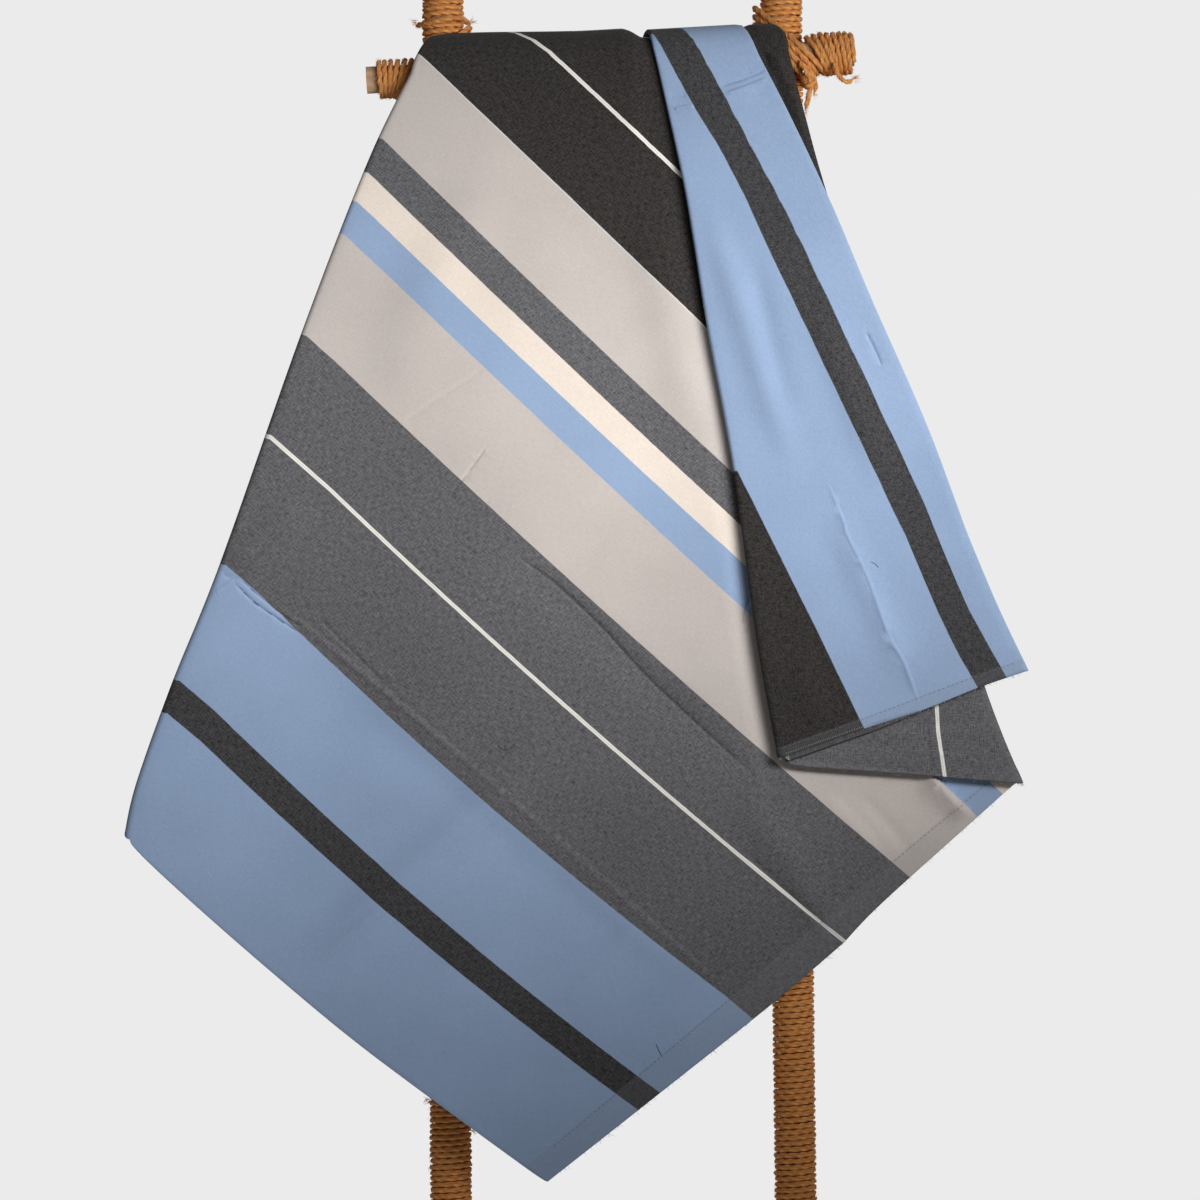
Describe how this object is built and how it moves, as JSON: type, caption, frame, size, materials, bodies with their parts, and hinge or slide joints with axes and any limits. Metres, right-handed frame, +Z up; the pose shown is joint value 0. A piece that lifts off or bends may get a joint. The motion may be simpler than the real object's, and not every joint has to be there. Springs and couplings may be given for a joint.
{
  "type": "sarong draped on a rope-wrapped rack",
  "caption": "Tube sarong in woven stripes, folded into a pleat, hung over the rod of a rope-wrapped wooden rack so that it ends in a point in front.",
  "frame": {"origin": "centre of the model's box on the surface it stands on", "axes": "+Z up, +X to the right seen from the front, -Y towards the viewer"},
  "size_m": [0.8578, 0.334, 1.3001],
  "materials": {
    "cotton": "plain-woven cotton in blue, black, grey, beige and cream stripes, matte",
    "coir": "twisted coir rope, hairy and matte",
    "wood": "bare light wood, satin"
  },
  "bodies": {
    "root": {"sarong": "cotton", "rod": "wood", "rod_wrap_left": "coir", "rod_wrap_middle": "coir", "rod_wrap_right": "coir", "left_post": "wood", "left_post_wrap": "coir", "left_foot": "wood", "left_lashing_1": "coir", "left_lashing_2": "coir", "left_lashing_3": "coir", "right_post": "wood", "right_post_wrap": "coir", "right_foot": "wood", "right_lashing_1": "coir", "right_lashing_2": "coir", "right_lashing_3": "coir", "stretcher": "wood"}
  },
  "joints": []
}
